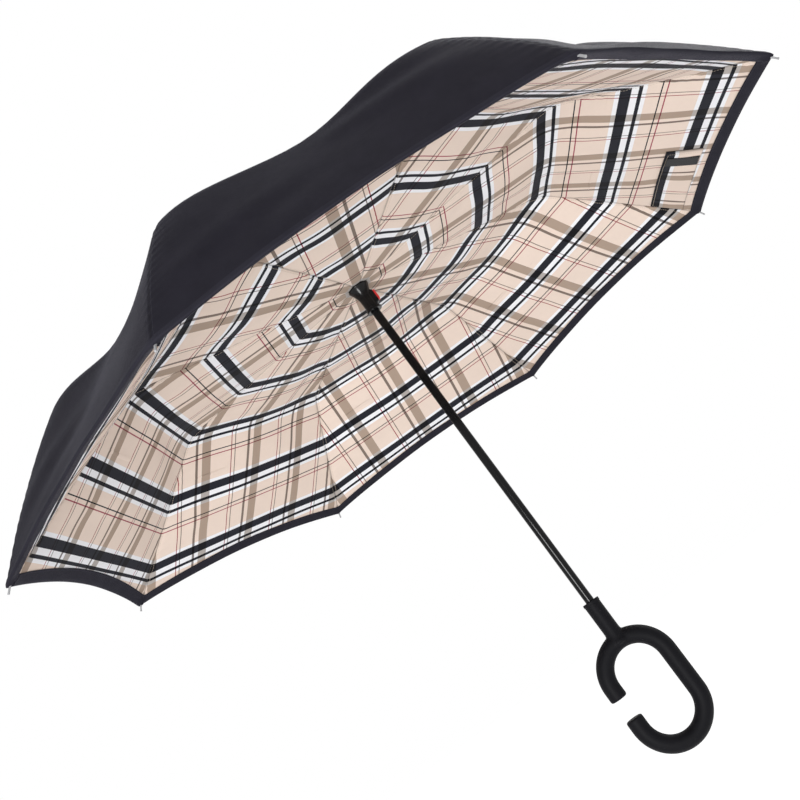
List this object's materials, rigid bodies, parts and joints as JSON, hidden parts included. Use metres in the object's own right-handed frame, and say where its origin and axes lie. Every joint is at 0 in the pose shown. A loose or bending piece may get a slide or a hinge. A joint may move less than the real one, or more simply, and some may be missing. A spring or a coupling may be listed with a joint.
{
  "type": "inverted umbrella",
  "caption": "Open inverted umbrella with a double canopy, plain outside and checked inside, on a slim shaft with a C-shaped handle; runner, ribs and button move.",
  "frame": {"origin": "centre of the C-shaped handle's loop, on the shaft's axis", "axes": "+Z along the shaft from the handle to the crown; +X in the handle's plane, towards the loop's closed side, so the loop's gap faces -X; +Y completes a right-handed frame"},
  "size_m": [0.9978, 0.9978, 0.8286],
  "materials": {
    "black_cloth": "plain water-repellent weave, blue-black",
    "check_cloth": "printed check on a tan ground",
    "black_steel": "black coated steel",
    "glass_fibre": "glass-fibre rod in a black steel socket",
    "black_plastic": "moulded, satin black",
    "soft_touch_black": "soft-touch coated, black",
    "steel_wire": "drawn steel wire",
    "tip_grey": "moulded, light grey",
    "red_plastic": "moulded, satin red"
  },
  "bodies": {
    "frame": {"shaft": "black_steel", "crown": "black_plastic", "crown_wire": "steel_wire", "top_cap": "black_plastic", "handle": "soft_touch_black"},
    "runner_body": {"runner": "black_plastic", "runner_wire": "steel_wire", "button_spring": "steel_wire"},
    "button_body": {"release_button": "red_plastic"},
    "rib_body_1": {"rib_1": "black_steel", "outer_canopy_1": "black_cloth", "inner_canopy_1": "check_cloth"},
    "outer_rib_body_1": {"outer_rib_1": "glass_fibre", "tip_1": "tip_grey", "closing_strap": "check_cloth"},
    "stretcher_body_1": {"stretcher_1": "black_steel"},
    "rib_body_2": {"rib_2": "black_steel", "outer_canopy_2": "black_cloth", "inner_canopy_2": "check_cloth"},
    "outer_rib_body_2": {"outer_rib_2": "glass_fibre", "tip_2": "tip_grey"},
    "stretcher_body_2": {"stretcher_2": "black_steel"},
    "rib_body_3": {"rib_3": "black_steel", "outer_canopy_3": "black_cloth", "inner_canopy_3": "check_cloth"},
    "outer_rib_body_3": {"outer_rib_3": "glass_fibre", "tip_3": "tip_grey"},
    "stretcher_body_3": {"stretcher_3": "black_steel"},
    "rib_body_4": {"rib_4": "black_steel", "outer_canopy_4": "black_cloth", "inner_canopy_4": "check_cloth"},
    "outer_rib_body_4": {"outer_rib_4": "glass_fibre", "tip_4": "tip_grey"},
    "stretcher_body_4": {"stretcher_4": "black_steel"},
    "rib_body_5": {"rib_5": "black_steel", "outer_canopy_5": "black_cloth", "inner_canopy_5": "check_cloth"},
    "outer_rib_body_5": {"outer_rib_5": "glass_fibre", "tip_5": "tip_grey"},
    "stretcher_body_5": {"stretcher_5": "black_steel"},
    "rib_body_6": {"rib_6": "black_steel", "outer_canopy_6": "black_cloth", "inner_canopy_6": "check_cloth"},
    "outer_rib_body_6": {"outer_rib_6": "glass_fibre", "tip_6": "tip_grey"},
    "stretcher_body_6": {"stretcher_6": "black_steel"},
    "rib_body_7": {"rib_7": "black_steel", "outer_canopy_7": "black_cloth", "inner_canopy_7": "check_cloth"},
    "outer_rib_body_7": {"outer_rib_7": "glass_fibre", "tip_7": "tip_grey"},
    "stretcher_body_7": {"stretcher_7": "black_steel"},
    "rib_body_8": {"rib_8": "black_steel", "outer_canopy_8": "black_cloth", "inner_canopy_8": "check_cloth"},
    "outer_rib_body_8": {"outer_rib_8": "glass_fibre", "tip_8": "tip_grey"},
    "stretcher_body_8": {"stretcher_8": "black_steel"}
  },
  "joints": [
    {"name": "runner_slide", "type": "slide", "parent": "frame", "child": "runner_body", "axis": [0, 0, -1], "range_m": [0, 0.434], "deforming": ["outer_canopy_1", "inner_canopy_1", "outer_canopy_2", "inner_canopy_2", "outer_canopy_3", "inner_canopy_3", "outer_canopy_4", "inner_canopy_4", "outer_canopy_5", "inner_canopy_5", "outer_canopy_6", "inner_canopy_6", "outer_canopy_7", "inner_canopy_7", "outer_canopy_8", "inner_canopy_8", "closing_strap"]},
    {"name": "button_press", "type": "slide", "parent": "runner_body", "child": "button_body", "axis": [-1, 0, 0], "range_m": [0, 0.002], "stiffness_N_per_m": 800, "springref_m": -0.001, "deforming": ["button_spring"]},
    {"name": "rib_hinge_1", "type": "hinge", "parent": "runner_body", "child": "rib_body_1", "pos_m": [0.0134, 0.00555, 0.6065], "axis": [0.3827, -0.9239, 0], "range_deg": [0, 87]},
    {"name": "outer_rib_hinge_1", "type": "hinge", "parent": "rib_body_1", "child": "outer_rib_body_1", "pos_m": [0.38098, 0.15781, 0.6141], "axis": [0.3827, -0.9239, 0], "range_deg": [0, 50]},
    {"name": "stretcher_hinge_1", "type": "hinge", "parent": "frame", "child": "stretcher_body_1", "pos_m": [0.00906, 0.00375, 0.7225], "axis": [-0.3827, 0.9239, 0], "range_deg": [0, 68.17]},
    {"name": "rib_hinge_2", "type": "hinge", "parent": "runner_body", "child": "rib_body_2", "pos_m": [0.00555, 0.0134, 0.6065], "axis": [0.9239, -0.3827, 0], "range_deg": [0, 87]},
    {"name": "outer_rib_hinge_2", "type": "hinge", "parent": "rib_body_2", "child": "outer_rib_body_2", "pos_m": [0.15781, 0.38098, 0.6141], "axis": [0.9239, -0.3827, 0], "range_deg": [0, 50]},
    {"name": "stretcher_hinge_2", "type": "hinge", "parent": "frame", "child": "stretcher_body_2", "pos_m": [0.00375, 0.00906, 0.7225], "axis": [-0.9239, 0.3827, 0], "range_deg": [0, 68.17]},
    {"name": "rib_hinge_3", "type": "hinge", "parent": "runner_body", "child": "rib_body_3", "pos_m": [-0.00555, 0.0134, 0.6065], "axis": [0.9239, 0.3827, 0], "range_deg": [0, 87]},
    {"name": "outer_rib_hinge_3", "type": "hinge", "parent": "rib_body_3", "child": "outer_rib_body_3", "pos_m": [-0.15781, 0.38098, 0.6141], "axis": [0.9239, 0.3827, 0], "range_deg": [0, 50]},
    {"name": "stretcher_hinge_3", "type": "hinge", "parent": "frame", "child": "stretcher_body_3", "pos_m": [-0.00375, 0.00906, 0.7225], "axis": [-0.9239, -0.3827, 0], "range_deg": [0, 68.17]},
    {"name": "rib_hinge_4", "type": "hinge", "parent": "runner_body", "child": "rib_body_4", "pos_m": [-0.0134, 0.00555, 0.6065], "axis": [0.3827, 0.9239, 0], "range_deg": [0, 87]},
    {"name": "outer_rib_hinge_4", "type": "hinge", "parent": "rib_body_4", "child": "outer_rib_body_4", "pos_m": [-0.38098, 0.15781, 0.6141], "axis": [0.3827, 0.9239, 0], "range_deg": [0, 50]},
    {"name": "stretcher_hinge_4", "type": "hinge", "parent": "frame", "child": "stretcher_body_4", "pos_m": [-0.00906, 0.00375, 0.7225], "axis": [-0.3827, -0.9239, 0], "range_deg": [0, 68.17]},
    {"name": "rib_hinge_5", "type": "hinge", "parent": "runner_body", "child": "rib_body_5", "pos_m": [-0.0134, -0.00555, 0.6065], "axis": [-0.3827, 0.9239, 0], "range_deg": [0, 87]},
    {"name": "outer_rib_hinge_5", "type": "hinge", "parent": "rib_body_5", "child": "outer_rib_body_5", "pos_m": [-0.38098, -0.15781, 0.6141], "axis": [-0.3827, 0.9239, 0], "range_deg": [0, 50]},
    {"name": "stretcher_hinge_5", "type": "hinge", "parent": "frame", "child": "stretcher_body_5", "pos_m": [-0.00906, -0.00375, 0.7225], "axis": [0.3827, -0.9239, 0], "range_deg": [0, 68.17]},
    {"name": "rib_hinge_6", "type": "hinge", "parent": "runner_body", "child": "rib_body_6", "pos_m": [-0.00555, -0.0134, 0.6065], "axis": [-0.9239, 0.3827, 0], "range_deg": [0, 87]},
    {"name": "outer_rib_hinge_6", "type": "hinge", "parent": "rib_body_6", "child": "outer_rib_body_6", "pos_m": [-0.15781, -0.38098, 0.6141], "axis": [-0.9239, 0.3827, 0], "range_deg": [0, 50]},
    {"name": "stretcher_hinge_6", "type": "hinge", "parent": "frame", "child": "stretcher_body_6", "pos_m": [-0.00375, -0.00906, 0.7225], "axis": [0.9239, -0.3827, 0], "range_deg": [0, 68.17]},
    {"name": "rib_hinge_7", "type": "hinge", "parent": "runner_body", "child": "rib_body_7", "pos_m": [0.00555, -0.0134, 0.6065], "axis": [-0.9239, -0.3827, 0], "range_deg": [0, 87]},
    {"name": "outer_rib_hinge_7", "type": "hinge", "parent": "rib_body_7", "child": "outer_rib_body_7", "pos_m": [0.15781, -0.38098, 0.6141], "axis": [-0.9239, -0.3827, 0], "range_deg": [0, 50]},
    {"name": "stretcher_hinge_7", "type": "hinge", "parent": "frame", "child": "stretcher_body_7", "pos_m": [0.00375, -0.00906, 0.7225], "axis": [0.9239, 0.3827, 0], "range_deg": [0, 68.17]},
    {"name": "rib_hinge_8", "type": "hinge", "parent": "runner_body", "child": "rib_body_8", "pos_m": [0.0134, -0.00555, 0.6065], "axis": [-0.3827, -0.9239, 0], "range_deg": [0, 87]},
    {"name": "outer_rib_hinge_8", "type": "hinge", "parent": "rib_body_8", "child": "outer_rib_body_8", "pos_m": [0.38098, -0.15781, 0.6141], "axis": [-0.3827, -0.9239, 0], "range_deg": [0, 50]},
    {"name": "stretcher_hinge_8", "type": "hinge", "parent": "frame", "child": "stretcher_body_8", "pos_m": [0.00906, -0.00375, 0.7225], "axis": [0.3827, 0.9239, 0], "range_deg": [0, 68.17]}
  ],
  "couplings": [
    {"joint": "rib_hinge_1", "follows": "runner_slide", "rad_per_m": 3.4987},
    {"joint": "outer_rib_hinge_1", "follows": "runner_slide", "rad_per_m": 2.0107},
    {"joint": "stretcher_hinge_1", "follows": "runner_slide", "rad_per_m": 2.7414},
    {"joint": "rib_hinge_2", "follows": "runner_slide", "rad_per_m": 3.4987},
    {"joint": "outer_rib_hinge_2", "follows": "runner_slide", "rad_per_m": 2.0107},
    {"joint": "stretcher_hinge_2", "follows": "runner_slide", "rad_per_m": 2.7414},
    {"joint": "rib_hinge_3", "follows": "runner_slide", "rad_per_m": 3.4987},
    {"joint": "outer_rib_hinge_3", "follows": "runner_slide", "rad_per_m": 2.0107},
    {"joint": "stretcher_hinge_3", "follows": "runner_slide", "rad_per_m": 2.7414},
    {"joint": "rib_hinge_4", "follows": "runner_slide", "rad_per_m": 3.4987},
    {"joint": "outer_rib_hinge_4", "follows": "runner_slide", "rad_per_m": 2.0107},
    {"joint": "stretcher_hinge_4", "follows": "runner_slide", "rad_per_m": 2.7414},
    {"joint": "rib_hinge_5", "follows": "runner_slide", "rad_per_m": 3.4987},
    {"joint": "outer_rib_hinge_5", "follows": "runner_slide", "rad_per_m": 2.0107},
    {"joint": "stretcher_hinge_5", "follows": "runner_slide", "rad_per_m": 2.7414},
    {"joint": "rib_hinge_6", "follows": "runner_slide", "rad_per_m": 3.4987},
    {"joint": "outer_rib_hinge_6", "follows": "runner_slide", "rad_per_m": 2.0107},
    {"joint": "stretcher_hinge_6", "follows": "runner_slide", "rad_per_m": 2.7414},
    {"joint": "rib_hinge_7", "follows": "runner_slide", "rad_per_m": 3.4987},
    {"joint": "outer_rib_hinge_7", "follows": "runner_slide", "rad_per_m": 2.0107},
    {"joint": "stretcher_hinge_7", "follows": "runner_slide", "rad_per_m": 2.7414},
    {"joint": "rib_hinge_8", "follows": "runner_slide", "rad_per_m": 3.4987},
    {"joint": "outer_rib_hinge_8", "follows": "runner_slide", "rad_per_m": 2.0107},
    {"joint": "stretcher_hinge_8", "follows": "runner_slide", "rad_per_m": 2.7414}
  ]
}
